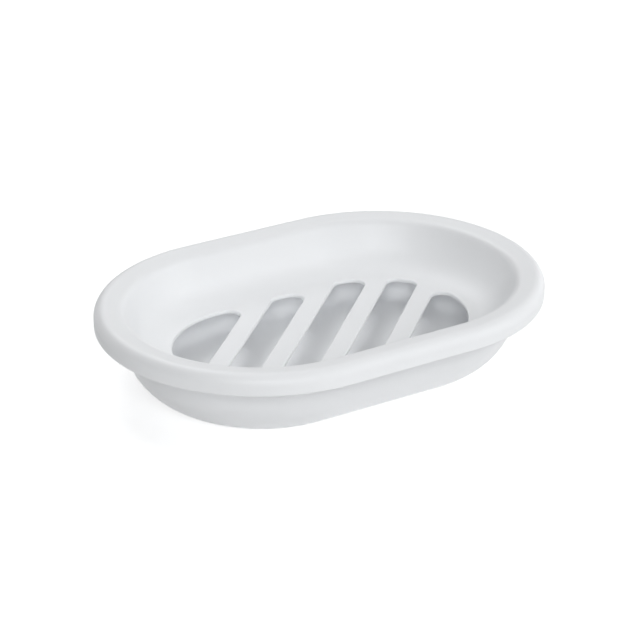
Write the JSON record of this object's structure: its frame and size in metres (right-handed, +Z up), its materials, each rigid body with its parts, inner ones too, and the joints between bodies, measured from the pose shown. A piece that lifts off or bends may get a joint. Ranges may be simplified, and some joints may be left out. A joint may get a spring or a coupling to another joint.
{
  "type": "soap dish",
  "caption": "Oval soap dish: a tray with slanting drain slots and a broad turned-down brim lifts out of a closed drip dish.",
  "frame": {"origin": "on the standing surface, under the middle of the dish", "axes": "+X along the dish's long axis, +Z up, +Y across the dish to complete a right-handed frame"},
  "size_m": [0.1274, 0.09, 0.0238],
  "materials": {
    "white_plastic": "satin"
  },
  "bodies": {
    "dish": {"drip_dish": "white_plastic"},
    "tray": {"slotted_tray": "white_plastic"}
  },
  "joints": [
    {"name": "tray_lift", "type": "slide", "parent": "dish", "child": "tray", "axis": [0, 0, 1], "range_m": [0, 0.03]}
  ]
}
